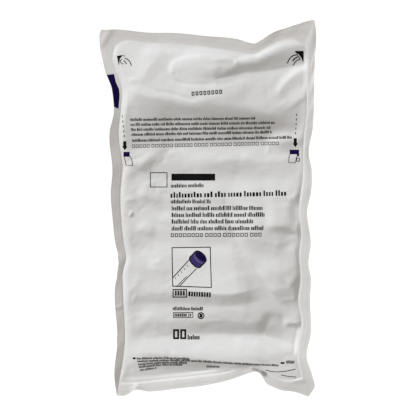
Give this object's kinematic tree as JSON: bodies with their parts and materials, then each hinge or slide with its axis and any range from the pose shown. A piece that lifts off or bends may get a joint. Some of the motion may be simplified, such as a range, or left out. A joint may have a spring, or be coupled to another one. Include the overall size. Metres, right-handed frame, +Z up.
{
  "type": "sealed pack of conical test tubes",
  "caption": "Soft white film pack of capped conical test tubes, lying on its formed back: tube rows ridge the heat-sealed lid, with a wavy drooping seal edge all round.",
  "frame": {"origin": "middle of the pack's outline, on the plane its flat back rests on", "axes": "+Z up out of the lid, +Y towards the peel-open head end, +X to the right with the head end away"},
  "size_m": [0.152, 0.2642, 0.082],
  "materials": {
    "film": "soft satin white film, slightly crumpled",
    "print_dark": "flat near-black print",
    "print_violet": "flat dark violet print"
  },
  "bodies": {
    "root": {"sealed_pack": "film"}
  },
  "joints": []
}
